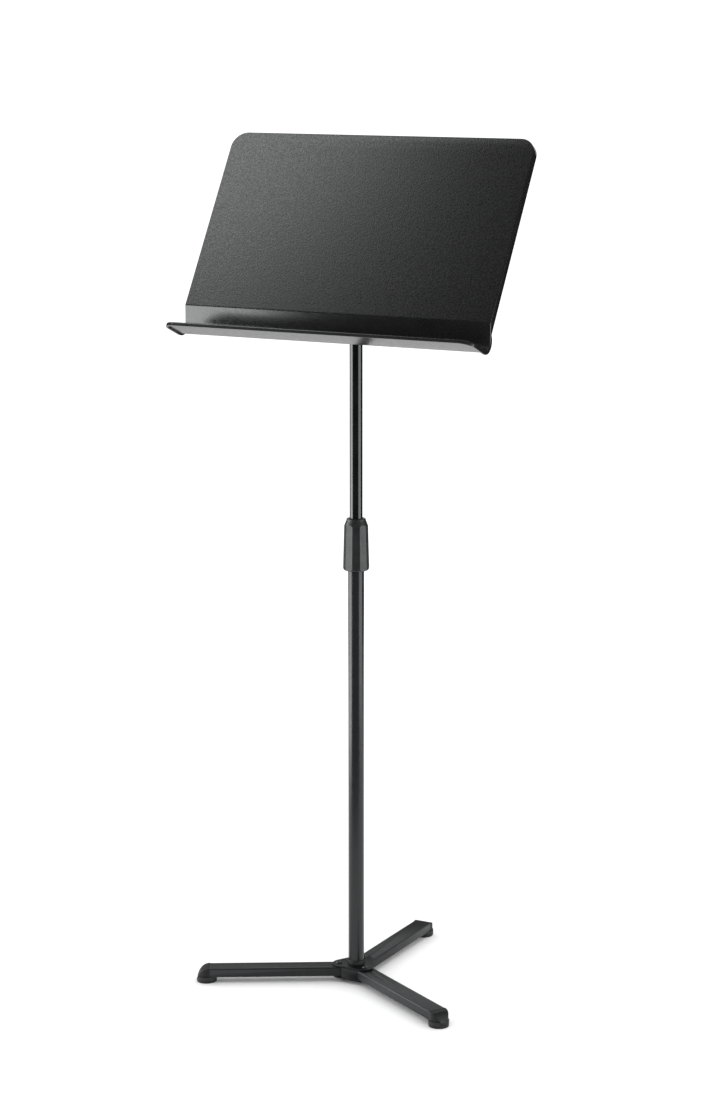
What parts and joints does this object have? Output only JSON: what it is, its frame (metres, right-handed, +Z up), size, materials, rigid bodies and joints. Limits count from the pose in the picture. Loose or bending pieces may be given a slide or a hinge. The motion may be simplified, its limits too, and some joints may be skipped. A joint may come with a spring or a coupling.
{
  "type": "music stand",
  "caption": "Free-standing music stand: folding flat base, two-tube column with a twist clutch, and a wide grained desk with a ledge on a friction tilt head.",
  "frame": {"origin": "on the floor, on the column's axis", "axes": "+Z up, +Y away from the player towards the desk's back, +X to the player's right"},
  "size_m": [0.527, 0.4016, 1.3449],
  "materials": {
    "steel_coated": "satin black powder coat",
    "tube_gloss": "gloss black enamel",
    "desk_plastic": "fine leather grain",
    "clutch_plastic": "fine satin moulding",
    "cap_plastic": "fine texture",
    "nylon": "natural nylon",
    "head_cast": "black coated casting",
    "zinc": "zinc plated",
    "black_screw": "black oxide",
    "rubber": "matt",
    "brass": "machined"
  },
  "bodies": {
    "base": {"hub_top_plate": "steel_coated", "hub_bottom_plate": "steel_coated", "hub_core": "zinc", "pivot_bushes": "zinc", "pivot_screws": "black_screw", "pivot_nuts": "zinc", "base_bolt": "zinc", "base_washer": "zinc", "column_plug": "zinc", "column_collar": "cap_plastic", "outer_tube": "steel_coated", "clutch_bush": "nylon", "clutch_collet": "nylon", "front_right_leg_tube": "steel_coated", "front_right_leg_cap": "cap_plastic", "front_right_foot_pad": "rubber"},
    "front_left_leg": {"front_left_leg_tube": "steel_coated", "front_left_leg_cap": "cap_plastic", "front_left_foot_pad": "rubber"},
    "rear_leg": {"rear_leg_tube": "steel_coated", "rear_leg_cap": "cap_plastic", "rear_foot_pad": "rubber"},
    "clutch": {"clutch_sleeve": "clutch_plastic"},
    "slider": {"guide_bush": "nylon"},
    "mast": {"inner_tube": "tube_gloss", "tilt_head": "head_cast", "head_pin": "zinc"},
    "desk": {"desk_shell": "desk_plastic", "tilt_bracket": "steel_coated", "bracket_screws": "black_screw", "friction_washers": "nylon", "tilt_bolt": "zinc", "knob_washer": "zinc"},
    "knob": {"tilt_knob": "cap_plastic", "knob_insert": "brass"}
  },
  "joints": [
    {"name": "front_left_leg_fold", "type": "hinge", "parent": "base", "child": "front_left_leg", "pos_m": [-0.02425, -0.014, 0.0171], "axis": [0, 0, -1], "range_deg": [0, 60]},
    {"name": "rear_leg_fold", "type": "hinge", "parent": "base", "child": "rear_leg", "pos_m": [0, 0.028, 0.0171], "axis": [0, 0, 1], "range_deg": [0, 60]},
    {"name": "clutch_twist", "type": "hinge", "parent": "base", "child": "clutch", "pos_m": [0, 0, 0.715], "axis": [0, 0, 1], "range_deg": [0, 120]},
    {"name": "height_slide", "type": "slide", "parent": "base", "child": "slider", "axis": [0, 0, 1], "range_m": [-0.34, 0.15]},
    {"name": "desk_turn", "type": "hinge", "parent": "slider", "child": "mast", "pos_m": [0, 0, 0.82], "axis": [0, 0, 1], "continuous": true},
    {"name": "desk_tilt", "type": "hinge", "parent": "mast", "child": "desk", "pos_m": [0, 0, 1.15], "axis": [-1, 0, 0], "range_deg": [-20, 59]},
    {"name": "tilt_knob_turn", "type": "hinge", "parent": "desk", "child": "knob", "pos_m": [0.0345, 0, 1.15], "axis": [1, 0, 0], "range_deg": [0, 180]}
  ]
}
